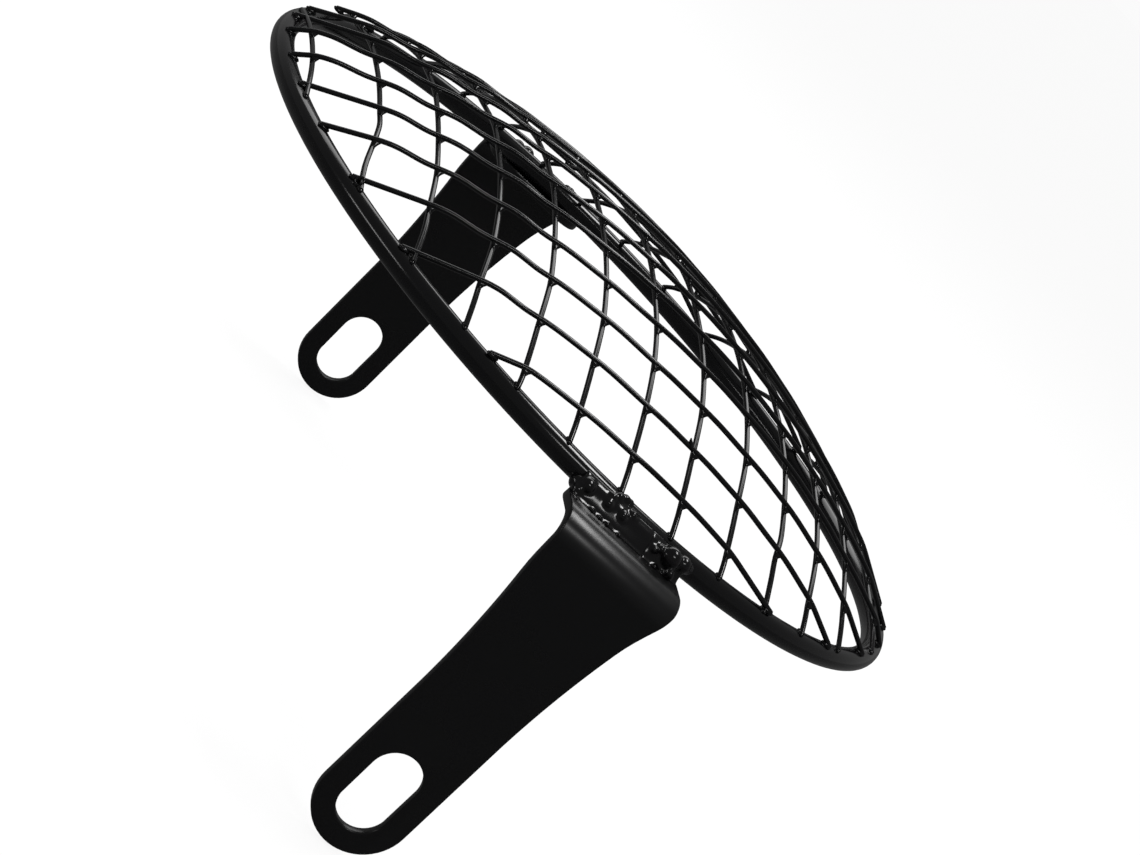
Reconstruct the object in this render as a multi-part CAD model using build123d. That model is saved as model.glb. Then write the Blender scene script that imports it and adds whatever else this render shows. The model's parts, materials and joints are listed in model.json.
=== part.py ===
from build123d import *
import math
import os

# Stone guard for a round motorcycle headlight: a rod bent to a ring, a domed grille of two
# layers of welded wire, and two folded sheet brackets whose slots take the headlight's side bolts.
# Millimetres. The origin is the middle of the ring, Z points forwards out of the dome, and X runs
# from one bracket to the other.

# Ring
ring_radius = 85.0
rod_diameter = 4.7

# Wire grille. The rise is that of a dome through the middle of the rod. The spaces between wires
# are counted across the ring, along the dome, and a layer's shift is a share of one space.
wire_diameter = 1.05
dome_rise = 18.0
outer_wire_spaces = 12.5
outer_wire_shift = -0.31
inner_wire_spaces = 13.35
inner_wire_shift = -0.375
rim_margin = 2.5
wire_overrun = 0.8
wire_bend_radius = 4.0
wire_bend_start = 1.2
steepest_wire_bend = 38.0
bend_passes = 6

# Brackets
sheet_thickness = 2.0
leg_standoff = 13.5
bend_inside_radius = 3.7
flange_lap = 0.8
flange_corner_radius = 2.0
leg_top_width = 27.6
flare_length = 41.0
tab_width = 19.4
slot_width = 10.3
slot_length = 18.1
slot_drop = 64.2

# Welds that hold the brackets to the ring
bead_radius = 1.9
bead_pitch = 2.6
front_bead_start = -12.0
front_bead_count = 5
rear_bead_start = 8.0
rear_bead_count = 3

# Clearance between rods, wires and sheet that touch, before the welds join them
touch_gap = 0.05

# Values that follow
rod_radius = rod_diameter / 2
wire_radius = wire_diameter / 2
seat_height = rod_radius + wire_radius + touch_gap
sphere_depth = (ring_radius**2 - dome_rise**2) / (2 * dome_rise)
inner_sphere = math.hypot(ring_radius, sphere_depth) + seat_height
outer_sphere = inner_sphere + wire_diameter + touch_gap
dome_span = 2 * inner_sphere * math.asin(ring_radius / inner_sphere)
wire_reach = ring_radius + wire_overrun

sheet_half = sheet_thickness / 2
leg_distance = ring_radius + leg_standoff
flange_top = -(rod_radius + touch_gap)
slot_arc_offset = (slot_length - slot_width) / 2
tab_end_height = -(slot_drop + slot_arc_offset)


def family_offsets(spaces, shift):
    """Distances of one layer's wires from the middle, evenly spaced along the dome."""
    pitch = dome_span / spaces
    steps = math.ceil(spaces / 2) + 1
    spaced = [pitch * (shift + step) for step in range(-steps, steps + 1)]
    offsets = [inner_sphere * math.sin(length / inner_sphere) for length in spaced]
    return [offset for offset in offsets if abs(offset) < ring_radius - rim_margin]


def half_length(offset, radius=wire_reach):
    """Half the chord that a circle about the middle leaves a wire at this offset."""
    return math.sqrt(radius**2 - offset**2)


def sweep_wire(path):
    """Round wire along a path."""
    section = Plane(origin=path @ 0, z_dir=path % 0) * Circle(wire_radius)
    return sweep(section, path=path)


def make_inner_wire(offset):
    """Wire of the inner layer: one arc that rests on the ring at both ends."""
    section_radius = math.sqrt(inner_sphere**2 - offset**2)
    end = half_length(offset)
    end_height = math.sqrt(section_radius**2 - end**2) - sphere_depth
    arc = ThreePointArc(
        (-end, end_height),
        (0, section_radius - sphere_depth),
        (end, end_height),
    )
    return sweep_wire(Plane(origin=(0, offset, 0), x_dir=(1, 0, 0), z_dir=(0, -1, 0)) * arc)


def rod_seat_points(offset):
    """Where a wire's centre may lie on the rod, in the upright plane at this offset."""
    points = []
    for degrees in range(180):
        angle = math.radians(degrees)
        radius = ring_radius + seat_height * math.cos(angle)
        if radius > abs(offset):
            points.append((half_length(offset, radius), seat_height * math.sin(angle)))
    return points


def bend_down(offset, last_crossing, way):
    """Bend and straight end that bring an outer wire down to the rod; empty if too steep."""
    section_radius = math.sqrt(outer_sphere**2 - offset**2)
    start_x = last_crossing + wire_bend_start
    start_y = math.sqrt(section_radius**2 - start_x**2) - sphere_depth
    slope = -math.asin(start_x / section_radius)
    seats = rod_seat_points(offset)
    corner_x = start_x
    corner_y = start_y
    turn = 0.0
    # The end of the bend and the line of sight from it to the rod settle within a few passes.
    for _ in range(bend_passes):
        turn = slope - max(math.atan2(y - corner_y, x - corner_x) for x, y in seats)
        corner_x = start_x + wire_bend_radius * (math.sin(turn - slope) + math.sin(slope))
        corner_y = start_y - wire_bend_radius * (math.cos(slope) - math.cos(turn - slope))
    end_x = half_length(offset)
    if not 0 < turn < math.radians(steepest_wire_bend) or corner_x > end_x - wire_diameter:
        return []
    bend = JernArc(
        start=(way * start_x, start_y),
        tangent=(way * math.cos(slope), math.sin(slope)),
        radius=wire_bend_radius,
        arc_size=-way * math.degrees(turn),
    )
    end_y = corner_y + math.tan(slope - turn) * (end_x - corner_x)
    return [bend, Line(bend @ 1, (way * end_x, end_y))]


def outer_wire_side(offset, last_crossing, way):
    """One half of an outer wire's path, from its crown to its end."""
    section_radius = math.sqrt(outer_sphere**2 - offset**2)

    def on_dome(x):
        return (way * x, math.sqrt(section_radius**2 - x**2) - sphere_depth)

    tail = bend_down(offset, last_crossing, way)
    end = last_crossing + wire_bend_start if tail else half_length(offset)
    return [ThreePointArc(on_dome(0), on_dome(end / 2), on_dome(end)), *tail]


def make_outer_wire(offset, crossings):
    """Wire of the outer layer: it lies on the inner layer and is bent down to the ring."""
    right = outer_wire_side(offset, max(crossings), 1)
    left = outer_wire_side(offset, -min(crossings), -1)
    path = Wire([*left, *right])
    return sweep_wire(Plane(origin=(offset, 0, 0), x_dir=(0, 1, 0), z_dir=(1, 0, 0)) * path)


def crossings_of(offset, inner_offsets):
    """Inner wires that an outer wire lies on."""
    return [
        other
        for other in inner_offsets
        if abs(offset) < half_length(other) + wire_radius
        and abs(other) < half_length(offset) + wire_radius
    ]


def make_bracket():
    """Sheet bracket on the +X side: flange under the rod, soft bend, flared leg, slotted tab."""
    flange_end = ring_radius - rod_radius - flange_lap
    flange_middle = flange_top - sheet_half
    fold = FilletPolyline(
        (flange_end, flange_middle),
        (leg_distance, flange_middle),
        (leg_distance, tab_end_height - tab_width),
        radius=bend_inside_radius + sheet_half,
    )
    profile = Plane.XZ * trace(fold, line_width=sheet_thickness)
    sheet = extrude(profile, amount=leg_top_width, both=True)

    half_top = leg_top_width / 2
    half_tab = tab_width / 2
    flange_bottom = flange_top - sheet_thickness
    flare_foot = flange_bottom - flare_length
    arc_middle = half_tab * math.sqrt(0.5)
    half_outline = make_face(
        [
            Line((0, rod_radius), (half_top, rod_radius)),
            Line((half_top, rod_radius), (half_top, flange_bottom)),
            TangentArc((half_tab, flare_foot), (half_top, flange_bottom), tangent=(0, 1)),
            Line((half_tab, flare_foot), (half_tab, tab_end_height)),
            ThreePointArc(
                (half_tab, tab_end_height),
                (arc_middle, tab_end_height - arc_middle),
                (0, tab_end_height - half_tab),
            ),
            Line((0, tab_end_height - half_tab), (0, rod_radius)),
        ]
    )
    outline = half_outline + mirror(half_outline, about=Plane.YZ)
    slot = Pos(0, -slot_drop) * Rot(0, 0, 90) * SlotOverall(slot_length, slot_width)
    bracket = sheet & extrude(Plane.YZ * (outline - slot), amount=leg_distance + sheet_thickness)
    flange_corners = bracket.edges().filter_by(Axis.Z).group_by(Axis.X)[0]
    return fillet(flange_corners, flange_corner_radius)


def make_bead(start, count):
    """Weld bead in the groove between the rod's outer side and the +X flange: a row of lumps."""
    height = flange_top + touch_gap + bead_radius
    reach = math.sqrt((rod_radius + touch_gap + bead_radius) ** 2 - height**2)
    bead_ring = ring_radius + reach
    first = math.degrees(math.asin(start / bead_ring))
    step = math.degrees(bead_pitch / bead_ring)
    centres = [Rot(0, 0, first + step * lump) * Pos(bead_ring, 0, height) for lump in range(count)]
    return Part() + [centre * Sphere(bead_radius) for centre in centres]


def save(name, shape):
    """Write one piece to its own file."""
    export_step(shape, f"parts/{name}.step")


os.makedirs("parts", exist_ok=True)

save("rim_ring", Torus(ring_radius, rod_radius))

outer_offsets = family_offsets(outer_wire_spaces, outer_wire_shift)
inner_offsets = family_offsets(inner_wire_spaces, inner_wire_shift)
for number, offset in enumerate(inner_offsets, start=1):
    save(f"inner_wire_{number:02d}", make_inner_wire(offset))
for number, offset in enumerate(outer_offsets, start=1):
    save(f"outer_wire_{number:02d}", make_outer_wire(offset, crossings_of(offset, inner_offsets)))

bracket = make_bracket()
front_bead = make_bead(front_bead_start, front_bead_count)
rear_bead = make_bead(rear_bead_start, rear_bead_count)
for side, turn in (("right", 0), ("left", 180)):
    save(f"{side}_bracket", Rot(0, 0, turn) * bracket)
    save(f"{side}_weld_front", Rot(0, 0, turn) * front_bead)
    save(f"{side}_weld_rear", Rot(0, 0, turn) * rear_bead)
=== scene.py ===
import json
import math

import bpy
from mathutils import Matrix, Vector


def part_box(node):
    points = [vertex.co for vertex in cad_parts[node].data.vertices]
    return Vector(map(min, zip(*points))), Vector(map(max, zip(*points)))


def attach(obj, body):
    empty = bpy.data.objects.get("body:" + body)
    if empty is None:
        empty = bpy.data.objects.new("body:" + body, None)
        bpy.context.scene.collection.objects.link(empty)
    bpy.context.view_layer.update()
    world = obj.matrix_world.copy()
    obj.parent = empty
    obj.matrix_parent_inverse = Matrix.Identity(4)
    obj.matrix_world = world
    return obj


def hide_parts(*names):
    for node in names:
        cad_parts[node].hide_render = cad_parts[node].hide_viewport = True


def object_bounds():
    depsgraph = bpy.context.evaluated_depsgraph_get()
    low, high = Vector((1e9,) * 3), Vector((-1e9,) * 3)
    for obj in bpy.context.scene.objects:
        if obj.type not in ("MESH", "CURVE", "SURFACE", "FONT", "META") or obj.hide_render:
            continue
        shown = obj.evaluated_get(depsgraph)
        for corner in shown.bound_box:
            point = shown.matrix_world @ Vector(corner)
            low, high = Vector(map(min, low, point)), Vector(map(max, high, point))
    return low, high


bl_info = {
    "name": "Headlight stone guard",
    "version": (1, 0, 0),
    "blender": (4, 5, 0),
    "location": "3D View > Sidebar > Guard",
    "description": "Welded wire guard of a round headlight: ring, grille, brackets and welds",
    "category": "Object",
}

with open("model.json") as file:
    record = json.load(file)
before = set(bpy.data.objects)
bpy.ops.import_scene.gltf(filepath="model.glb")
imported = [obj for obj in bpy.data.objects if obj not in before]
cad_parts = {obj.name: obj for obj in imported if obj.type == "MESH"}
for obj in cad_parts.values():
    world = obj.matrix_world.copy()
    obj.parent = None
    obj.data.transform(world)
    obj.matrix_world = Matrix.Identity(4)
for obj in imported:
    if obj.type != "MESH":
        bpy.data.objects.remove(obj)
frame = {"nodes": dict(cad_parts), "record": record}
cad_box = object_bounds()
MM = 0.001
# Points nearer to each other than this are the same point
TINY = 0.001 * MM


def middle(name):
    """Centre of a CAD node's box."""
    low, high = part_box(name)
    return (Vector(low) + Vector(high)) / 2


def span(name):
    """Size of a CAD node's box."""
    low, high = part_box(name)
    return Vector(high) - Vector(low)


ROD_RADIUS = span("rim_ring").z / 2
RING_RADIUS = span("rim_ring").x / 2 - ROD_RADIUS
OUTER_WIRES = sorted(name for name in frame["nodes"] if name.startswith("outer_wire_"))
INNER_WIRES = sorted(name for name in frame["nodes"] if name.startswith("inner_wire_"))
WIRE_RADIUS = span(OUTER_WIRES[0]).x / 2
OUTER_PLACES = [middle(name).x for name in OUTER_WIRES]
INNER_PLACES = [middle(name).y for name in INNER_WIRES]
SLOT_HEIGHT = frame["record"]["mounts"][0]["pos_m"][2]

# Degrees between two faces past which the edge between them is shaded crisp
CRISP_SHEET = 35
CRISP_WIRE = 50
CRISP_ROD = 60
CRISP_WELD = 80


# Sizes and colours that a user would change


class RingSettings(bpy.types.PropertyGroup):
    """Rod bent to a ring."""

    rod_sides: bpy.props.IntProperty(
        name="Rod sides", description="Faces round the rod", default=32, min=12, max=64
    )
    ring_steps: bpy.props.IntProperty(
        name="Ring steps", description="Faces along the ring", default=240, min=48, max=480
    )


class GrilleSettings(bpy.types.PropertyGroup):
    """Two layers of wire, bent to a dome."""

    dome_rise: bpy.props.FloatProperty(
        name="Dome rise",
        description="Height of the dome through the middle of the rod",
        default=18.0 * MM,
        subtype="DISTANCE",
        precision=4,
    )
    wire_gap: bpy.props.FloatProperty(
        name="Wire gap",
        description="Clearance between the layers under the weld",
        default=0.05 * MM,
        subtype="DISTANCE",
        precision=5,
    )
    overrun: bpy.props.FloatProperty(
        name="Overrun",
        description="How far the wires reach past the middle of the rod",
        default=0.8 * MM,
        subtype="DISTANCE",
        precision=4,
    )
    sink: bpy.props.FloatProperty(
        name="Sink",
        description="How deep the wires' ends are melted into the rod",
        default=0.5 * MM,
        subtype="DISTANCE",
        precision=5,
    )
    ripple: bpy.props.FloatProperty(
        name="Ripple",
        description="Wave of the outer wires between their welds",
        default=0.3 * MM,
        subtype="DISTANCE",
        precision=5,
    )


class BracketSettings(bpy.types.PropertyGroup):
    """Folded sheet bracket with a long slot."""

    thickness: bpy.props.FloatProperty(
        name="Sheet",
        description="Thickness of the sheet",
        default=2.0 * MM,
        subtype="DISTANCE",
        precision=4,
    )
    inside_bend: bpy.props.FloatProperty(
        name="Inside bend",
        description="Inside radius of the fold",
        default=3.7 * MM,
        subtype="DISTANCE",
        precision=4,
    )
    tab_width: bpy.props.FloatProperty(
        name="Tab width",
        description="Width of the tab",
        default=19.4 * MM,
        subtype="DISTANCE",
        precision=4,
    )
    flare_length: bpy.props.FloatProperty(
        name="Flare",
        description="Length of the curved flare",
        default=41.0 * MM,
        subtype="DISTANCE",
        precision=4,
    )
    slot_width: bpy.props.FloatProperty(
        name="Slot width",
        description="Width of the slot",
        default=10.3 * MM,
        subtype="DISTANCE",
        precision=4,
    )
    slot_length: bpy.props.FloatProperty(
        name="Slot length",
        description="Length of the slot from end to end",
        default=18.1 * MM,
        subtype="DISTANCE",
        precision=4,
    )
    edge_round: bpy.props.FloatProperty(
        name="Edge round",
        description="Rounding of the coated edges",
        default=0.32 * MM,
        subtype="DISTANCE",
        precision=5,
    )
    corner_round: bpy.props.FloatProperty(
        name="Corner round",
        description="Rounding of the flange's two corners",
        default=8.0 * MM,
        subtype="DISTANCE",
        precision=4,
    )
    lean: bpy.props.FloatProperty(
        name="Lean",
        description="Slant of both welded brackets in their own plane",
        default=math.radians(1.9),
        subtype="ANGLE",
    )


class WeldSettings(bpy.types.PropertyGroup):
    """Welds and the coating that fills their corners."""

    web_reach: bpy.props.FloatProperty(
        name="Web reach",
        description="How far a crossing's weld runs along its wires",
        default=1.55 * MM,
        subtype="DISTANCE",
        precision=5,
    )
    bead_grain: bpy.props.FloatProperty(
        name="Bead grain",
        description="Size of the faces on the melted beads",
        default=0.2 * MM,
        subtype="DISTANCE",
        precision=5,
    )


class CoatSettings(bpy.types.PropertyGroup):
    """Black gloss powder coating."""

    black: bpy.props.StringProperty(
        name="Black", description="Colour of the coating as an sRGB hex code", default="080809"
    )
    rod_roughness: bpy.props.FloatProperty(
        name="Rod roughness",
        description="Coating on rod and wire",
        default=0.14,
        min=0.0,
        max=1.0,
        subtype="FACTOR",
    )
    sheet_roughness: bpy.props.FloatProperty(
        name="Sheet roughness",
        description="Coating on the sheet",
        default=0.27,
        min=0.0,
        max=1.0,
        subtype="FACTOR",
    )


class StageSettings(bpy.types.PropertyGroup):
    """Floor, lights and camera."""

    floor_colour: bpy.props.StringProperty(
        name="Floor", description="Colour of the floor as an sRGB hex code", default="ffffff"
    )
    lens_pixels: bpy.props.FloatProperty(
        name="Focal length",
        description="Focal length in pixels of an image 1140 wide",
        default=2987.66,
    )


def colour(text):
    """Linear colour of an sRGB hex code."""
    parts = [int(text[i : i + 2], 16) / 255 for i in (0, 2, 4)]
    linear = [c / 12.92 if c <= 0.04045 else ((c + 0.055) / 1.055) ** 2.4 for c in parts]
    return (*linear, 1.0)


def node(tree, kind, at, inputs=None, **values):
    """Adds one shader node; inputs are numbers, colours or other nodes' outputs."""
    made = tree.nodes.new(kind)
    made.location = at
    for name, value in values.items():
        setattr(made, name, value)
    for name, value in (inputs or {}).items():
        if isinstance(value, bpy.types.NodeSocket):
            tree.links.new(value, made.inputs[name])
        else:
            made.inputs[name].default_value = value
    return made


def new_material(name):
    """Empty node material; returns it with its tree and its output node."""
    material = bpy.data.materials.new(name)
    material.use_nodes = True
    tree = material.node_tree
    tree.nodes.clear()
    return material, tree, node(tree, "ShaderNodeOutputMaterial", (600, 0))


# The cured powder's orange peel is about 2.4 mm from wave to wave. It is shallow on rod and wire
# and deeper on the flat sheet, where it makes the long highlights waver a little.
PEEL_WIDTH = 2.38 * MM
PEEL_DEPTH = {"rod": 0.002 * MM, "sheet": 0.01 * MM}
# Patches as wide as a fingertip, where the gloss is a little duller or brighter
PATCH_WIDTH = 18.2 * MM
DULLEST = 1.2
GLOSSIEST = 0.85
# Matched to the real coat, whose black mirrors less than the usual 0.5
COAT_SPECULAR = 0.28


def gloss_black_powder_coat(name, black, roughness, peel_depth):
    """Powder sprayed on steel and cured: a deep, wet black with sharp, thin highlights on rod and
    wire, broader and softer ones on the sheet, a faint orange peel, and gloss that varies slightly
    in patches."""
    material, tree, output = new_material(name)
    place = node(tree, "ShaderNodeTexCoord", (-1000, 0))
    peel = node(
        tree,
        "ShaderNodeTexNoise",
        (-780, -240),
        {
            "Vector": place.outputs["Object"],
            "Scale": 1 / PEEL_WIDTH,
            "Detail": 2.0,
            "Roughness": 0.45,
        },
    )
    bump = node(
        tree,
        "ShaderNodeBump",
        (-240, -240),
        {"Height": peel.outputs["Fac"], "Strength": 1.0, "Distance": peel_depth},
    )
    patches = node(
        tree,
        "ShaderNodeTexNoise",
        (-780, 60),
        {"Vector": place.outputs["Object"], "Scale": 1 / PATCH_WIDTH, "Detail": 3.0},
    )
    dull = node(
        tree,
        "ShaderNodeMapRange",
        (-520, 60),
        {
            "Value": patches.outputs["Fac"],
            "From Min": 0.3,
            "From Max": 0.7,
            "To Min": roughness * GLOSSIEST,
            "To Max": roughness * DULLEST,
        },
    )
    shader = node(
        tree,
        "ShaderNodeBsdfPrincipled",
        (260, 0),
        {
            "Base Color": colour(black),
            "Roughness": dull.outputs["Result"],
            "Specular IOR Level": COAT_SPECULAR,
            "Normal": bump.outputs["Normal"],
        },
    )
    tree.links.new(shader.outputs["BSDF"], output.inputs["Surface"])
    return material


def coat(kind):
    """The coating's material on rod and wire, or on sheet, made once."""
    name = f"gloss_black_powder_coat_{kind}"
    settings = bpy.context.scene.guard_coat
    roughness = getattr(settings, f"{kind}_roughness")
    found = bpy.data.materials.get(name)
    return found or gloss_black_powder_coat(name, settings.black, roughness, PEEL_DEPTH[kind])


def start():
    """Leaves edit mode and clears the selection."""
    if bpy.context.object and bpy.context.object.mode != "OBJECT":
        bpy.ops.object.mode_set(mode="OBJECT")
    bpy.ops.object.select_all(action="DESELECT")


def only(piece):
    """Selects one piece alone and makes it active."""
    start()
    piece.select_set(True)
    bpy.context.view_layer.objects.active = piece


def pick(kind, test):
    """Selects, in edit mode, the edges whose middle passes the test, or faces by their normal."""
    mesh = bpy.context.object.data
    bpy.ops.mesh.select_mode(type=kind)
    bpy.ops.mesh.select_all(action="DESELECT")
    bpy.ops.object.mode_set(mode="OBJECT")
    if kind == "FACE":
        for face in mesh.polygons:
            face.select = test(face.normal)
    else:
        for edge in mesh.edges:
            a, b = (mesh.vertices[i].co for i in edge.vertices)
            edge.select = test((a + b) / 2)
    bpy.ops.object.mode_set(mode="EDIT")


def tidy_mesh(merge=10 * TINY):
    """Merges doubles and turns the faces outwards, in edit mode."""
    bpy.ops.mesh.select_all(action="SELECT")
    bpy.ops.mesh.remove_doubles(threshold=merge)
    bpy.ops.mesh.normals_make_consistent(inside=False)


def apply_all(piece):
    """Applies a piece's modifiers."""
    only(piece)
    for modifier in list(piece.modifiers):
        bpy.ops.object.modifier_apply(modifier=modifier.name)


def join(pieces):
    """Joins pieces into the first of them."""
    start()
    for piece in pieces:
        piece.select_set(True)
    bpy.context.view_layer.objects.active = pieces[0]
    bpy.ops.object.join()
    return pieces[0]


def own_copy(piece, place):
    """Copy of a piece with a mesh of its own, put where a matrix says."""
    other = piece.copy()
    other.data = piece.data.copy()
    bpy.context.scene.collection.objects.link(other)
    other.matrix_world = place
    return other


def settle(piece, name, replaced, crisp, kind="rod"):
    """Names a finished piece, puts its place into its mesh, coats it and lets it ride."""
    only(piece)
    bpy.ops.object.transform_apply(location=True, rotation=True, scale=True)
    bpy.ops.object.shade_smooth_by_angle(angle=math.radians(crisp))
    piece.name = name
    piece.data.name = name
    piece.data.materials.clear()
    piece.data.materials.append(coat(kind))
    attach(piece, "root")
    if replaced:
        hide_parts(*replaced)


def settle_pair(right, left, name, node_name, crisp, kind="rod"):
    """Settles a piece of the right side, and a copy of another turned to the left side."""
    turned = own_copy(left, Matrix.Rotation(math.pi, 4, "Z") @ left.matrix_world)
    settle(turned, f"left_{name}", [f"left_{node_name}"], crisp, kind)
    settle(right, f"right_{name}", [f"right_{node_name}"], crisp, kind)


# Ring


class GUARD_OT_ring(bpy.types.Operator):
    """Round rod spun to a ring"""

    bl_idname = "guard.ring"
    bl_label = "Ring"

    def execute(self, context):
        settings = context.scene.guard_ring
        start()
        bpy.ops.mesh.primitive_circle_add(
            vertices=settings.rod_sides,
            radius=ROD_RADIUS,
            location=(RING_RADIUS, 0, 0),
            rotation=(math.pi / 2, 0, 0),
        )
        piece = bpy.context.object
        bpy.ops.object.mode_set(mode="EDIT")
        bpy.ops.mesh.select_all(action="SELECT")
        bpy.ops.mesh.spin(
            steps=settings.ring_steps, angle=2 * math.pi, center=(0, 0, 0), axis=(0, 0, 1)
        )
        tidy_mesh()
        settle(piece, "ring_rod", ["rim_ring"], CRISP_ROD)
        return {"FINISHED"}


# Grille


class Dome:
    """The dome that the wires lie on."""

    def __init__(self, settings):
        rise = settings.dome_rise
        self.depth = (RING_RADIUS**2 - rise**2) / (2 * rise)
        rod_sphere = math.hypot(RING_RADIUS, self.depth)
        self.inner = rod_sphere + ROD_RADIUS + WIRE_RADIUS + settings.wire_gap
        self.outer = self.inner + 2 * WIRE_RADIUS + settings.wire_gap
        self.reach = RING_RADIUS + settings.overrun

    def height(self, sphere, x, y):
        """Height of one of the dome's spheres above the ring's plane."""
        return math.sqrt(sphere**2 - x**2 - y**2) - self.depth

    def chord(self, place):
        """Half the length of a wire at this distance from the middle."""
        return math.sqrt(self.reach**2 - place**2)

    def normal(self, x, y):
        """Direction straight out of the dome."""
        return Vector((x, y, self.height(self.inner, x, y) + self.depth)).normalized()


# Millimetres by which the welds of outer wires 6 to 12 stand off an even grid: one row per inner
# wire, first along the inner wires, then across them. NEAR_OUTER is how many outer wires come
# before them, and the grille waves more where y is below WAVY_END.
NEAR_OUTER = 5
WAVY_END = -32 * MM
SWAY_ALONG = (
    (-0.2, 0.5, 0.3),
    (-0.3, -0.5, -1.4, -1.8, -1.9),
    (0.1, -0.5, -1.7, -2.2, -2.4, -2.3),
    (-1.2, -1.1, -1.6, -2.2, -2.4, -2.3),
    (-1.1, 0.0, -0.9, -1.4, -2.0, -1.9, -1.1),
    (-0.3, 0.0, -0.2, -0.9, -1.6, -1.4, -0.4),
    (-0.1, 0.4, -0.1, -0.3, -0.6, -0.4, 0.4),
    (0.0, 0.1, -0.1, -0.5, -0.6, -0.1, 0.6),
    (-0.1, 0.1, -0.3, -0.7, -0.6, 0.1, 0.8),
    (-0.2, 0.0, -0.4, -1.2, -0.8, 0.7, 0.9),
    (-0.1, 0.0, -0.3, -0.8, 0.1, 1.9),
    (0.0, 0.0, -0.1, 0.2, 1.7),
    (0.0, 0.1, 0.0),
)
SWAY_ACROSS = (
    (-0.2, -0.1, -0.1),
    (0.2, 0.5, 0.8, 0.6, 0.2),
    (0.1, 0.0, 0.1, 0.5, 0.3, -0.6),
    (0.8, 0.6, 0.8, 0.9, 0.8, -0.1),
    (0.4, 0.6, 0.5, 0.5, 0.6, -0.2, -0.5),
    (0.0, -0.1, 0.0, 0.1, 0.1, -0.6, -1.0),
    (0.4, 0.2, 0.0, 0.2, 0.0, -0.6, -1.2),
    (0.5, 0.2, 0.4, 0.5, 0.2, -0.9, -1.4),
    (0.8, 1.0, 1.0, 0.9, 0.6, -0.7, -1.3),
    (0.6, 0.7, 0.9, 1.0, 0.4, -1.2, -1.9),
    (0.4, 0.4, 0.5, 0.3, -0.5, -2.3),
    (0.2, 0.2, 0.0, -0.7, -2.1),
    (0.0, 0.0, -0.4),
)
# Elsewhere the welds stand off by up to this much, mm, in a steady but uneven rhythm
FAR_SWAY_ALONG = 0.35
FAR_SWAY_ACROSS = 0.3
# A crossing nearer to the rod's centre line than this has no weld of its own
WELD_MARGIN = 2 * MM


def weld_place(outer, inner):
    """Where an outer wire is welded to an inner one, in plan."""
    column = outer - NEAR_OUTER
    if 0 <= column < len(SWAY_ALONG[inner]):
        along, across = SWAY_ALONG[inner][column], SWAY_ACROSS[inner][column]
    else:
        along = FAR_SWAY_ALONG * math.sin(3.1 * inner + 1.7 * outer)
        across = FAR_SWAY_ACROSS * math.sin(2.3 * inner + 2.9 * outer)
    return OUTER_PLACES[outer] + along * MM, INNER_PLACES[inner] + across * MM


def welds():
    """All crossings inside the ring: outer wire, inner wire, place."""
    found = []
    for outer in range(len(OUTER_PLACES)):
        for inner in range(len(INNER_PLACES)):
            x, y = weld_place(outer, inner)
            if math.hypot(x, y) < RING_RADIUS - WELD_MARGIN:
                found.append((outer, inner, x, y))
    return found


def wire_piece(name, points):
    """Round wire along a smooth curve through the points, as a mesh."""
    start()
    bpy.ops.curve.primitive_nurbs_path_add()
    curve = bpy.context.object.data
    curve.splines.clear()
    spline = curve.splines.new("NURBS")
    spline.points.add(len(points) - 1)
    for knot, place in zip(spline.points, points):
        knot.co = (*place, 1.0)
    spline.order_u = 4
    spline.use_endpoint_u = True
    spline.resolution_u = 3
    curve.dimensions = "3D"
    curve.twist_mode = "MINIMUM"
    curve.bevel_depth = WIRE_RADIUS
    curve.bevel_resolution = 4
    curve.use_fill_caps = True
    bpy.ops.object.convert(target="MESH")
    bpy.ops.object.mode_set(mode="EDIT")
    tidy_mesh()
    settle(bpy.context.object, name.replace("_wire_", "_grille_wire_"), [name], CRISP_WIRE)


# Kinks: a wire and the weld that the span starts from, both counted from 0, with the sideways
# places of the span's inner points, mm
INNER_KINKS = {
    (1, 7): (0.5, 0.2),
    (1, 8): (-0.5, -0.6),
    (9, 9): (0.4, 0.7),
    (0, 7): (0.2, 0.3),
    (2, 9): (0.3, 0.2),
}
OUTER_KINKS = {(10, 8): (0.3, 0.6, 0.3), (8, 5): (0.3, 0.5, 0.3)}
# Steps from weld to weld
INNER_STEPS = 3
OUTER_STEPS = 4
# How much of the ripple is left where the grille is calm
CALM = 0.15


def between(a, b, count):
    """Places from a up to b, without b."""
    return [
        (a[0] + (b[0] - a[0]) * i / count, a[1] + (b[1] - a[1]) * i / count) for i in range(count)
    ]


def outer_end_height(number):
    """Height at which an outer wire ends on the ring."""
    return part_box(OUTER_WIRES[number])[0][2] + WIRE_RADIUS


class GUARD_OT_inner_wires(bpy.types.Operator):
    """Inner layer of wires, along the bolts"""

    bl_idname = "guard.inner_wires"
    bl_label = "Inner wires"

    def execute(self, context):
        settings = context.scene.guard_grille
        dome = Dome(settings)
        crossings = welds()
        for number, name in enumerate(INNER_WIRES):
            stops = [(x, y) for _, inner, x, y in crossings if inner == number]
            outers = [outer for outer, inner, _, _ in crossings if inner == number]
            first, last = stops[0][1], stops[-1][1]
            stops = [(-dome.chord(first), first), *stops, (dome.chord(last), last)]
            plan = []
            for a, b, weld in zip(stops, stops[1:], [None, *outers]):
                kink = INNER_KINKS.get((number, weld), (0, 0))
                places = between(a, b, INNER_STEPS)
                plan += [(x, y + bend * MM) for (x, y), bend in zip(places, (0, *kink))]
            plan.append(stops[-1])
            points = []
            for i, (x, y) in enumerate(plan):
                from_end = min(i, len(plan) - 1 - i)
                sunk = settings.sink * max(0.0, 1 - from_end / 2)
                points.append((x, y, dome.height(dome.inner, x, y) - sunk))
            wire_piece(name, points)
        return {"FINISHED"}


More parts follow.
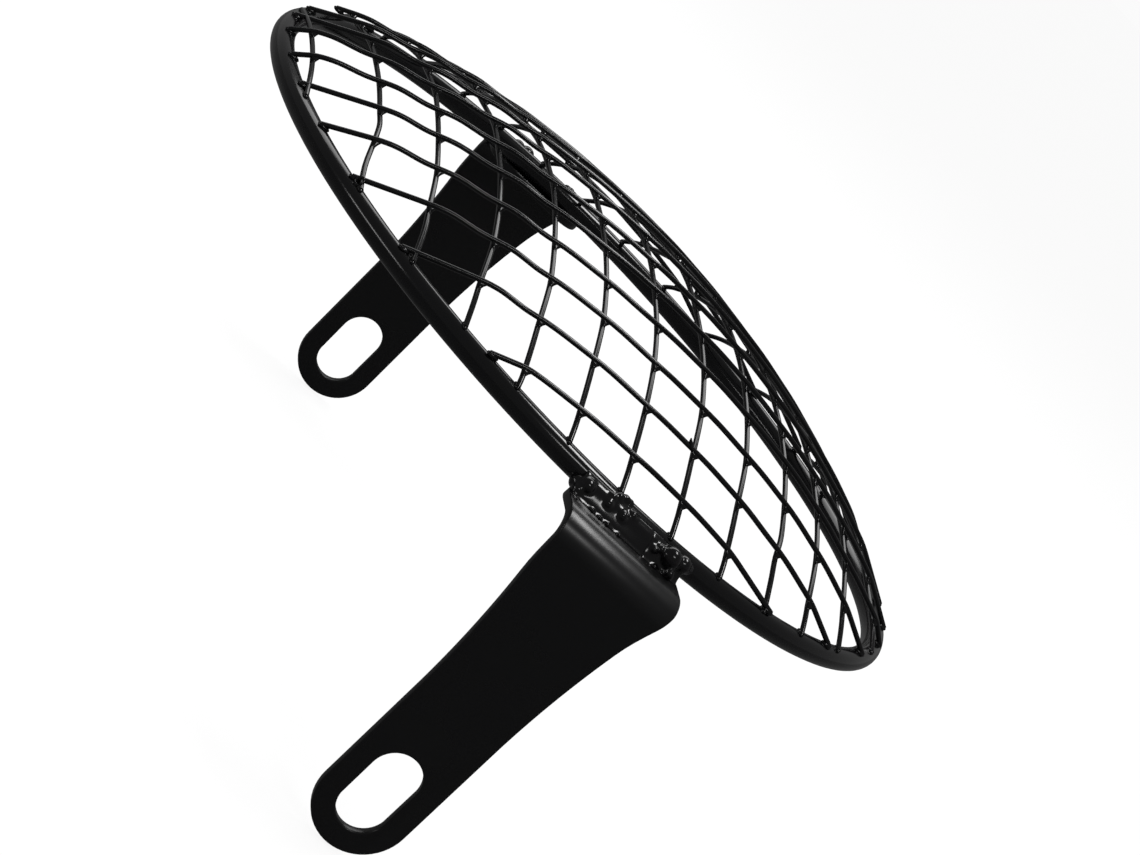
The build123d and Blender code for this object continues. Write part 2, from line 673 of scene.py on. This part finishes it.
def outer_tail(dome, weld, way, low):
    """Points of an outer wire from its end on the ring up to its last weld."""
    x, y = weld
    top = dome.height(dome.outer, x, y)
    fall = between((x, way * dome.chord(x)), (x, y), OUTER_STEPS)
    return [(*place, low + (top - low) * i / OUTER_STEPS) for i, place in enumerate(fall)]


class GUARD_OT_outer_wires(bpy.types.Operator):
    """Outer layer of wires, across the bolts, bent down to the ring at both ends"""

    bl_idname = "guard.outer_wires"
    bl_label = "Outer wires"

    def execute(self, context):
        settings = context.scene.guard_grille
        dome = Dome(settings)
        crossings = welds()
        for number, name in enumerate(OUTER_WIRES):
            stops = [(x, y) for outer, _, x, y in crossings if outer == number]
            inners = [inner for outer, inner, _, _ in crossings if outer == number]
            low = outer_end_height(number) - settings.sink
            points = outer_tail(dome, stops[0], -1, low)
            for a, b, weld in zip(stops, stops[1:], inners):
                kink = OUTER_KINKS.get((number, weld), (0, 0, 0))
                for i, (x, y) in enumerate(between(a, b, OUTER_STEPS)):
                    strength = 1 if y < WAVY_END else CALM
                    wave = settings.ripple * math.sin(math.pi * i / 2) * strength
                    bend = (0, *kink)[i] * MM
                    points.append((x + bend, y, dome.height(dome.outer, x, y) + wave))
            x, y = stops[-1]
            points.append((x, y, dome.height(dome.outer, x, y)))
            points += reversed(outer_tail(dome, stops[-1], 1, low))
            wire_piece(name, points)
        return {"FINISHED"}


# Brackets


# The leg's slant fades between these heights, by this share of it, within the fold
LEAN_TOP = -16.0 * MM
FLANGE_LEVEL = -3.0 * MM
FOLD_SHARE = 0.6
# Faces along the flange's corners, the fold, the flare and the round end, and round the slot
CORNER_STEPS = 14
FOLD_STEPS = 14
FLARE_STEPS = 18
END_STEPS = 14
SLOT_SIDES = 56
# Angles in degrees: flatter edges are dissolved after the cut, and sharper ones are rounded
FLAT_EDGE = 0.5
SHARP_EDGE = 40


class LegOutline:
    """Half the width of the right leg at any height: flare, straight tab, round end."""

    def __init__(self, settings, low, high):
        half_top = (high.y - low.y) / 2
        self.half_tab = settings.tab_width / 2
        self.flare_top = high.z - settings.thickness
        self.flare_foot = self.flare_top - settings.flare_length
        self.tab_centre = low.z + self.half_tab
        rise = half_top - self.half_tab
        self.flare_radius = (settings.flare_length**2 + rise**2) / (2 * rise)

    def half_width(self, z):
        """Half the width at a height."""
        if z >= self.flare_foot:
            along = min(z, self.flare_top) - self.flare_foot
            inside = math.sqrt(self.flare_radius**2 - along**2)
            return self.half_tab + self.flare_radius - inside
        if z >= self.tab_centre:
            return self.half_tab
        return math.sqrt(max(0.0, self.half_tab**2 - (z - self.tab_centre) ** 2))

    def stations(self, leg_start):
        """Heights of the leg's cross-sections below its start."""
        drop = self.flare_foot - leg_start
        flare = [leg_start + drop * i / FLARE_STEPS for i in range(1, FLARE_STEPS + 1)]
        turns = [math.pi / 2 * i / END_STEPS for i in range(1, END_STEPS + 1)]
        end = [self.tab_centre - self.half_tab * math.sin(turn) for turn in turns]
        return [*flare, self.tab_centre, *end]


def cut_slot(piece, settings, leg_inside):
    """Cuts the long slot with a cylinder that is drawn out to the slot's length."""
    start()
    bpy.ops.mesh.primitive_cylinder_add(
        vertices=SLOT_SIDES,
        radius=settings.slot_width / 2,
        depth=8 * settings.thickness,
        location=(leg_inside, 0, SLOT_HEIGHT),
        rotation=(math.pi / SLOT_SIDES, math.pi / 2, 0),
    )
    cutter = bpy.context.object
    bpy.ops.object.transform_apply(location=True, rotation=True, scale=True)
    reach = (settings.slot_length - settings.slot_width) / 2
    for vertex in cutter.data.vertices:
        vertex.co.z += reach if vertex.co.z > SLOT_HEIGHT else -reach
    cut = piece.modifiers.new("slot", "BOOLEAN")
    cut.object = cutter
    cut.operation = "DIFFERENCE"
    cut.solver = "EXACT"
    apply_all(piece)
    bpy.data.objects.remove(cutter)
    bpy.ops.object.mode_set(mode="EDIT")
    bpy.ops.mesh.select_all(action="SELECT")
    bpy.ops.mesh.remove_doubles(threshold=TINY)
    bpy.ops.mesh.dissolve_limited(angle_limit=math.radians(FLAT_EDGE))
    bpy.ops.object.mode_set(mode="OBJECT")


def make_bracket(settings, lean):
    """Right bracket: flange under the rod, spun bend, flared leg, round tab, long slot."""
    low, high = (Vector(corner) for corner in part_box("right_bracket"))
    thick = settings.thickness
    width = high.y - low.y
    bend = settings.inside_bend + thick
    centre = Vector((high.x - bend, 0, high.z - bend))
    start()
    bpy.ops.mesh.primitive_cube_add(
        size=1,
        location=((low.x + centre.x) / 2, 0, high.z - thick / 2),
        scale=(centre.x - low.x, width, thick),
    )
    piece = bpy.context.object
    bpy.ops.object.transform_apply(location=True, rotation=True, scale=True)
    bpy.ops.object.mode_set(mode="EDIT")
    pick("EDGE", lambda place: abs(place.x - low.x) < TINY and abs(place.y) > width / 4)
    bpy.ops.mesh.bevel(offset=settings.corner_round, segments=CORNER_STEPS, affect="EDGES")
    pick("FACE", lambda normal: normal.x > 0.9)
    bpy.ops.mesh.spin(steps=FOLD_STEPS, angle=-math.pi / 2, center=centre, axis=(0, 1, 0))

    outline = LegOutline(settings, low, high)
    z = centre.z
    for station in outline.stations(centre.z):
        bpy.ops.mesh.extrude_region_move(TRANSFORM_OT_translate={"value": (0, 0, station - z)})
        z = station
    bpy.ops.mesh.select_all(action="SELECT")
    bpy.ops.mesh.remove_doubles(threshold=TINY)
    bpy.ops.object.mode_set(mode="OBJECT")
    for vertex in piece.data.vertices:
        if vertex.co.z < outline.flare_top - TINY and vertex.co.x > centre.x + TINY:
            vertex.co.y = math.copysign(outline.half_width(vertex.co.z), vertex.co.y)
    bpy.ops.object.mode_set(mode="EDIT")
    tidy_mesh(TINY)
    bpy.ops.object.mode_set(mode="OBJECT")

    cut_slot(piece, settings, high.x - thick)
    soft = piece.modifiers.new("edges", "BEVEL")
    soft.width = settings.edge_round
    soft.segments = 3
    # Clamped, the rounding would be as thin all over as the shortest edge at the slot allows
    soft.use_clamp_overlap = False
    soft.limit_method = "ANGLE"
    soft.angle_limit = math.radians(SHARP_EDGE)
    apply_all(piece)
    # The leg leans about its slot. The fold takes up most of the slant, so the flange lies truer.
    for vertex in piece.data.vertices:
        part = min(1.0, max(0.0, (vertex.co.z - LEAN_TOP) / (FLANGE_LEVEL - LEAN_TOP)))
        folded = part**2 * (3 - 2 * part)
        vertex.co.y -= math.tan(lean) * (vertex.co.z - SLOT_HEIGHT) * (1 - FOLD_SHARE * folded)
    return piece


class GUARD_OT_brackets(bpy.types.Operator):
    """Two folded sheet brackets"""

    bl_idname = "guard.brackets"
    bl_label = "Brackets"

    def execute(self, context):
        settings = context.scene.guard_bracket
        left = make_bracket(settings, -settings.lean)
        right = make_bracket(settings, settings.lean)
        settle_pair(right, left, "bracket_sheet", "bracket", CRISP_SHEET, "sheet")
        bpy.data.objects.remove(left)
        return {"FINISHED"}


# Welds


# Section of the run of weld between rod and flange: distance from the ring's axis and height, mm
WELD_RUN = (
    (85.6, -2.5),
    (91.4, -2.5),
    (90.8, -2.35),
    (90.2, -1.9),
    (89.7, -1.2),
    (89.2, -0.4),
    (88.6, 0.4),
    (87.9, 1.1),
    (87.1, 1.6),
    (85.8, 1.7),
)
# A run's start and end along the flange, mm, measured this far out from the rod's centre line
GROOVE = 4 * MM
FRONT_SPAN = (-14.0, 3.4)
REAR_SPAN = (3.0, 12.2)
# Lumps on the runs: place along the flange, distance from the ring's axis, height and radius, mm
FRONT_LUMPS = (
    (-14.9, 86.3, -1.0, 0.9),
    (-13.6, 87.6, -1.3, 1.6),
    (-13.4, 89.3, -1.8, 1.2),
    (-12.3, 88.3, -0.4, 1.7),
    (-7.2, 87.2, 0.9, 1.1),
    (-6.0, 86.3, 1.6, 1.05),
    (-4.7, 85.7, 2.0, 1.0),
    (-3.5, 85.6, 1.9, 0.95),
    (-2.2, 87.2, 1.1, 1.0),
    (-7.4, 88.3, -0.1, 1.2),
    (-3.9, 88.3, 0.0, 1.2),
    (-9.4, 90.9, -2.2, 0.45),
    (-7.6, 91.1, -2.2, 0.4),
    (-5.6, 90.9, -2.2, 0.5),
    (-2.8, 91.1, -2.2, 0.45),
)
REAR_LUMPS = (
    (4.6, 89.2, -0.3, 0.75),
    (5.7, 88.7, 0.5, 0.8),
    (8.3, 88.6, 0.3, 2.2),
    (11.2, 88.0, 0.6, 1.8),
    (12.8, 87.3, 0.5, 1.35),
    (9.6, 90.5, -1.5, 1.1),
    (6.4, 90.9, -2.2, 0.5),
)
# Passes that melt the lumps into the run
MELT_PASSES = 24


def around(angle, reach, height):
    """Point at an angle about the ring's axis; distance from the axis and height in mm."""
    return Vector((math.cos(angle) * reach * MM, math.sin(angle) * reach * MM, height * MM))


def weld_run(span_ends, lumps, settings):
    """Run of weld in the groove beside the rod, with the lumps melted into it."""
    start()
    bpy.ops.mesh.primitive_circle_add(vertices=len(WELD_RUN), fill_type="NGON")
    run = bpy.context.object
    first, last = (math.asin(place * MM / (RING_RADIUS + GROOVE)) for place in span_ends)
    for vertex, (reach, height) in zip(run.data.vertices, WELD_RUN):
        vertex.co = around(first, reach, height)
    bpy.ops.object.mode_set(mode="EDIT")
    bpy.ops.mesh.select_all(action="SELECT")
    bpy.ops.mesh.spin(steps=10, angle=first - last, center=(0, 0, 0), axis=(0, 0, 1))
    tidy_mesh()
    parts = [run]
    for place, reach, height, radius in lumps:
        start()
        bpy.ops.mesh.primitive_uv_sphere_add(
            segments=18,
            ring_count=12,
            radius=radius * MM,
            location=around(math.asin(place / reach), reach, height),
        )
        parts.append(bpy.context.object)
    join(parts)
    bpy.ops.object.transform_apply(location=True, rotation=True, scale=True)
    melt = run.modifiers.new("melt", "REMESH")
    melt.mode = "VOXEL"
    melt.voxel_size = settings.bead_grain
    soft = run.modifiers.new("soft", "SMOOTH")
    soft.factor = 0.5
    soft.iterations = MELT_PASSES
    apply_all(run)
    return run


class GUARD_OT_bracket_welds(bpy.types.Operator):
    """Weld beads between ring and brackets"""

    bl_idname = "guard.bracket_welds"
    bl_label = "Bracket welds"

    def execute(self, context):
        settings = context.scene.guard_weld
        runs = {"front": (FRONT_SPAN, FRONT_LUMPS), "rear": (REAR_SPAN, REAR_LUMPS)}
        for part, (span_ends, lumps) in runs.items():
            run = weld_run(span_ends, lumps, settings)
            settle_pair(run, run, f"bead_{part}", f"weld_{part}", CRISP_WELD)
        return {"FINISHED"}


# A crossing's weld: half its height as a share of the wire's radius, its radius where the wires
# touch, its half width beside a wire, and how quickly it spreads and narrows
WEB_HEIGHT = 1.05
WEB_WAIST = 0.86 * MM
WEB_NARROW = 0.34 * MM
WEB_SPREAD = 1.4
WEB_TAPER = 1.2


def crossing_weld(settings):
    """Saddle of weld and coating between crossing wires: long along each at that wire's height."""
    start()
    half = WIRE_RADIUS * WEB_HEIGHT
    bpy.ops.mesh.primitive_cylinder_add(
        vertices=16, radius=1.0, depth=2 * half, end_fill_type="TRIFAN"
    )
    saddle = bpy.context.object
    bpy.ops.object.mode_set(mode="EDIT")
    for height in (-half / 2, 0.0, half / 2):
        bpy.ops.mesh.select_all(action="SELECT")
        bpy.ops.mesh.bisect(plane_co=(0, 0, height), plane_no=(0, 0, 1))
    bpy.ops.object.mode_set(mode="OBJECT")
    for vertex in saddle.data.vertices:
        share = vertex.co.z / half
        far = WEB_WAIST + (settings.web_reach - WEB_WAIST) * abs(share) ** WEB_SPREAD
        near = WEB_WAIST + (WEB_NARROW - WEB_WAIST) * abs(share) ** WEB_TAPER
        vertex.co.x *= near if share > 0 else far
        vertex.co.y *= far if share > 0 else near
    return saddle


class GUARD_OT_crossing_welds(bpy.types.Operator):
    """Coated welds where the wires cross"""

    bl_idname = "guard.crossing_welds"
    bl_label = "Crossing welds"

    def execute(self, context):
        dome = Dome(context.scene.guard_grille)
        saddle = crossing_weld(context.scene.guard_weld)
        contact = (dome.inner + dome.outer) / 2
        crossings = welds()
        for number in range(len(OUTER_PLACES)):
            copies = []
            for x, y in ((x, y) for outer, _, x, y in crossings if outer == number):
                up = dome.normal(x, y)
                across = Vector((0, 1, 0)).cross(up).normalized()
                turn = Matrix((across, up.cross(across), up)).transposed().to_4x4()
                place = Matrix.Translation((x, y, dome.height(contact, x, y)))
                copies.append(own_copy(saddle, place @ turn))
            settle(join(copies), f"crossing_welds_{number + 1:02d}", [], CRISP_ROD)
        bpy.data.objects.remove(saddle)
        return {"FINISHED"}


# Feet where the wires end on the ring: radius, how far they lie below the wire's middle and back
# along it, and their stretch along, across and up. Their widths differ a little from wire to wire.
FOOT_RADIUS = 1 * MM
FOOT_DROP = 0.1 * MM
FOOT_BACK = 0.75 * MM
FOOT_STRETCH = (1.35, 0.72, 0.55)
FOOT_VARIES = 0.08


def wire_ends(dome, sink):
    """Both ends of every wire: layer, number, place of the end and the weld next to it in plan."""
    found = []
    crossings = welds()
    for layer, key, places in (("inner", 1, INNER_PLACES), ("outer", 0, OUTER_PLACES)):
        for number in range(len(places)):
            stops = [weld[2:] for weld in crossings if weld[key] == number]
            for way, (x, y) in ((-1, stops[0]), (1, stops[-1])):
                if layer == "inner":
                    end = (way * dome.chord(y), y)
                    height = dome.height(dome.inner, *end)
                else:
                    end = (x, way * dome.chord(x))
                    height = outer_end_height(number)
                found.append((layer, number, Vector((*end, height - sink)), Vector((x, y, 0))))
    return found


class GUARD_OT_rim_welds(bpy.types.Operator):
    """Small welds where the wires end on the ring"""

    bl_idname = "guard.rim_welds"
    bl_label = "Rim welds"

    def execute(self, context):
        settings = context.scene.guard_grille
        feet = {"inner": [], "outer": []}
        for layer, number, end, weld in wire_ends(Dome(settings), settings.sink):
            along = (Vector((end.x, end.y, 0)) - weld).normalized()
            start()
            bpy.ops.mesh.primitive_uv_sphere_add(segments=14, ring_count=9, radius=FOOT_RADIUS)
            foot = bpy.context.object
            foot.scale = FOOT_STRETCH
            foot.scale.y += FOOT_VARIES * math.sin(number * 2.1)
            foot.rotation_euler = (0, 0, math.atan2(along.y, along.x))
            foot.location = end - Vector((0, 0, FOOT_DROP)) - along * FOOT_BACK
            feet[layer].append(foot)
        for layer, group in feet.items():
            settle(join(group), f"rim_welds_{layer}", [], CRISP_WELD)
        return {"FINISHED"}


# Thorn of spatter on a wire: middle, the two radii, height, and lean in radians
THORN = (64.4 * MM, 4.9 * MM, 12.65 * MM)
THORN_RADII = (0.7 * MM, 0.1 * MM)
THORN_HEIGHT = 1.8 * MM
THORN_LEAN = 0.73
THORN_ROUND = 0.12 * MM
# Web of coating round a pinhole: middle, radius of its rim, radius of its wall, turn in radians,
# and stretch
PINHOLE = (50.2 * MM, -69.4 * MM, 3.0 * MM)
PINHOLE_RADII = (0.68 * MM, 0.24 * MM)
PINHOLE_TURN = (0, 1.2, -0.385)
PINHOLE_STRETCH = (1.3, 1.0, 1.0)


class GUARD_OT_spatter(bpy.types.Operator):
    """Thorn of spatter on a wire, and a pinhole web of coating where two wires meet the ring"""

    bl_idname = "guard.spatter"
    bl_label = "Spatter"

    def execute(self, context):
        start()
        bpy.ops.mesh.primitive_cone_add(
            vertices=12,
            radius1=THORN_RADII[0],
            radius2=THORN_RADII[1],
            depth=THORN_HEIGHT,
            location=THORN,
            rotation=(THORN_LEAN, 0, 0),
        )
        thorn = bpy.context.object
        soft = thorn.modifiers.new("soft", "BEVEL")
        soft.width = THORN_ROUND
        soft.segments = 2
        apply_all(thorn)
        start()
        bpy.ops.mesh.primitive_torus_add(
            major_segments=28,
            minor_segments=10,
            major_radius=PINHOLE_RADII[0],
            minor_radius=PINHOLE_RADII[1],
            location=PINHOLE,
            rotation=PINHOLE_TURN,
        )
        web = bpy.context.object
        web.scale = PINHOLE_STRETCH
        settle(join([thorn, web]), "spatter_and_web", [], CRISP_ROD)
        return {"FINISHED"}


# Stage


WHITE = (1, 1, 1, 1)
# Share of the camera's view of the floor that is plain white; the rest is lit, and takes shadow
FLOOR_WHITE = 0.88
# Strengths at which the camera sees floor and world, at which the coat mirrors them, and at which
# the world lights the guard
FLOOR_GLOW = 1.02
FLOOR_MIRRORED = 0.12
WORLD_SEEN = 0.96
WORLD_MIRRORED = 0.2
WORLD_LIGHT = 0.45
# The floor lies this far below the tabs' ends, and its side is this long in metres
FLOOR_GAP = 0.5 * MM
FLOOR_SIDE = 60.0
# Lamps: azimuth and elevation from the ring's middle in degrees, distance and sides in metres,
# and power in watts
LAMPS = (
    ("lamp_over", 108, 77, 1.3, (0.5, 0.2), 8),
    ("lamp_side", -75, 8, 1.2, (0.5, 0.08), 1.6),
    ("lamp_front", 8, 43, 1.3, (0.4, 0.12), 2.7),
    ("lamp_back", 182, 42, 1.3, (1.3, 0.4), 5),
)
# Camera, as fitted to the guard's outline: place in metres, and the picture's right, down and
# inward directions
IMAGE_WIDTH = 1140
CAMERA_PLACE = (0.5504971, -0.2098921, 0.1237522)
CAMERA_RIGHT = Vector((0.0936270, 0.6868178, 0.7207741))
CAMERA_DOWN = Vector((0.4216099, 0.6284862, -0.6536438))
CAMERA_INWARD = Vector((-0.9019308, 0.3650842, -0.2307259))


def pale_floor(settings):
    """Even white studio floor with a soft shadow; the coat mirrors it as dim as a dark studio."""
    material, tree, output = new_material("pale_studio_floor")
    path = node(tree, "ShaderNodeLightPath", (-600, 200))
    seen = node(
        tree,
        "ShaderNodeMath",
        (-380, 200),
        {0: path.outputs["Is Camera Ray"], 1: FLOOR_WHITE},
        operation="MULTIPLY",
    )
    pale = colour(settings.floor_colour)
    matt = node(tree, "ShaderNodeBsdfDiffuse", (-380, 0), {"Color": pale})
    glow = node(
        tree, "ShaderNodeEmission", (-380, -140), {"Color": pale, "Strength": FLOOR_GLOW}
    )
    mirrored = node(
        tree, "ShaderNodeEmission", (-380, -280), {"Color": WHITE, "Strength": FLOOR_MIRRORED}
    )
    plain = node(
        tree,
        "ShaderNodeMixShader",
        (-100, 0),
        {0: seen.outputs[0], 1: matt.outputs[0], 2: glow.outputs[0]},
    )
    mix = node(
        tree,
        "ShaderNodeMixShader",
        (200, 0),
        {0: path.outputs["Is Glossy Ray"], 1: plain.outputs[0], 2: mirrored.outputs[0]},
    )
    tree.links.new(mix.outputs[0], output.inputs["Surface"])
    return material


def studio_world():
    """Plain pale surroundings, dimmer where the coat mirrors them."""
    world = bpy.data.worlds.new("studio")
    world.use_nodes = True
    tree = world.node_tree
    tree.nodes.clear()
    output = node(tree, "ShaderNodeOutputWorld", (500, 0))
    path = node(tree, "ShaderNodeLightPath", (-500, 200))
    light, seen, dim = (
        node(tree, "ShaderNodeBackground", (-200, y), {"Color": WHITE, "Strength": strength})
        for y, strength in ((0, WORLD_LIGHT), (-150, WORLD_SEEN), (150, WORLD_MIRRORED))
    )
    mirrored = node(
        tree,
        "ShaderNodeMixShader",
        (0, 0),
        {0: path.outputs["Is Glossy Ray"], 1: light.outputs[0], 2: dim.outputs[0]},
    )
    mix = node(
        tree,
        "ShaderNodeMixShader",
        (200, 0),
        {0: path.outputs["Is Camera Ray"], 1: mirrored.outputs[0], 2: seen.outputs[0]},
    )
    tree.links.new(mix.outputs[0], output.inputs["Surface"])
    return world


def soft_lamp(name, azimuth, elevation, distance, size, power):
    """Area lamp that looks at the ring's middle."""
    lamp = bpy.data.lights.new(name, "AREA")
    lamp.shape = "RECTANGLE"
    lamp.size, lamp.size_y = size
    lamp.energy = power
    holder = bpy.data.objects.new(name, lamp)
    bpy.context.scene.collection.objects.link(holder)
    side, up = math.radians(azimuth), math.radians(elevation)
    way = Vector((math.cos(up) * math.cos(side), math.cos(up) * math.sin(side), math.sin(up)))
    holder.location = way * distance
    holder.rotation_euler = (-way).to_track_quat("-Z", "Y").to_euler()


class GUARD_OT_stage(bpy.types.Operator):
    """Pale floor, soft light and the camera"""

    bl_idname = "guard.stage"
    bl_label = "Stage"

    def execute(self, context):
        settings = context.scene.guard_stage
        scene = context.scene
        start()
        bpy.ops.mesh.primitive_plane_add(
            size=FLOOR_SIDE, location=(0, 0, cad_box[0][2] - FLOOR_GAP)
        )
        floor = bpy.context.object
        bpy.ops.object.transform_apply(location=True, rotation=True, scale=True)
        floor.name = "floor"
        floor.data.materials.append(pale_floor(settings))

        scene.world = studio_world()
        for lamp in LAMPS:
            soft_lamp(*lamp)

        camera = bpy.data.cameras.new("camera")
        holder = bpy.data.objects.new("camera", camera)
        scene.collection.objects.link(holder)
        scene.camera = holder
        camera.sensor_width = 36.0
        camera.lens = settings.lens_pixels / IMAGE_WIDTH * camera.sensor_width
        camera.clip_start = 0.02
        camera.clip_end = 30
        turn = Matrix((CAMERA_RIGHT, -CAMERA_DOWN, -CAMERA_INWARD)).transposed().to_4x4()
        holder.matrix_world = Matrix.Translation(CAMERA_PLACE) @ turn

        scene.view_settings.view_transform = "Standard"
        return {"FINISHED"}


class GUARD_PT_panel(bpy.types.Panel):
    """Lists the guard's pieces"""

    bl_label = "Headlight stone guard"
    bl_idname = "GUARD_PT_panel"
    bl_space_type = "VIEW_3D"
    bl_region_type = "UI"
    bl_category = "Guard"

    def draw(self, context):
        for group, (_, operators) in GROUPS.items():
            box = self.layout.box()
            settings = getattr(context.scene, group)
            for name in settings.__annotations__:
                box.prop(settings, name)
            for operator in operators:
                box.operator(operator.bl_idname)


# Groups of settings, each with the operators that use them
GROUPS = {
    "guard_coat": (CoatSettings, ()),
    "guard_ring": (RingSettings, (GUARD_OT_ring,)),
    "guard_grille": (GrilleSettings, (GUARD_OT_inner_wires, GUARD_OT_outer_wires)),
    "guard_bracket": (BracketSettings, (GUARD_OT_brackets,)),
    "guard_weld": (
        WeldSettings,
        (GUARD_OT_bracket_welds, GUARD_OT_crossing_welds, GUARD_OT_rim_welds, GUARD_OT_spatter),
    ),
    "guard_stage": (StageSettings, (GUARD_OT_stage,)),
}


def register():
    for name, (group, operators) in GROUPS.items():
        bpy.utils.register_class(group)
        setattr(bpy.types.Scene, name, bpy.props.PointerProperty(type=group))
        for operator in operators:
            bpy.utils.register_class(operator)
    bpy.utils.register_class(GUARD_PT_panel)


def unregister():
    bpy.utils.unregister_class(GUARD_PT_panel)
    for name, (group, operators) in reversed(GROUPS.items()):
        for operator in reversed(operators):
            bpy.utils.unregister_class(operator)
        delattr(bpy.types.Scene, name)
        bpy.utils.unregister_class(group)


def main():
    register()
    bpy.ops.guard.ring()
    bpy.ops.guard.inner_wires()
    bpy.ops.guard.outer_wires()
    bpy.ops.guard.brackets()
    bpy.ops.guard.bracket_welds()
    bpy.ops.guard.crossing_welds()
    bpy.ops.guard.rim_welds()
    bpy.ops.guard.spatter()
    bpy.ops.guard.stage()


if __name__ == "__main__":
    main()
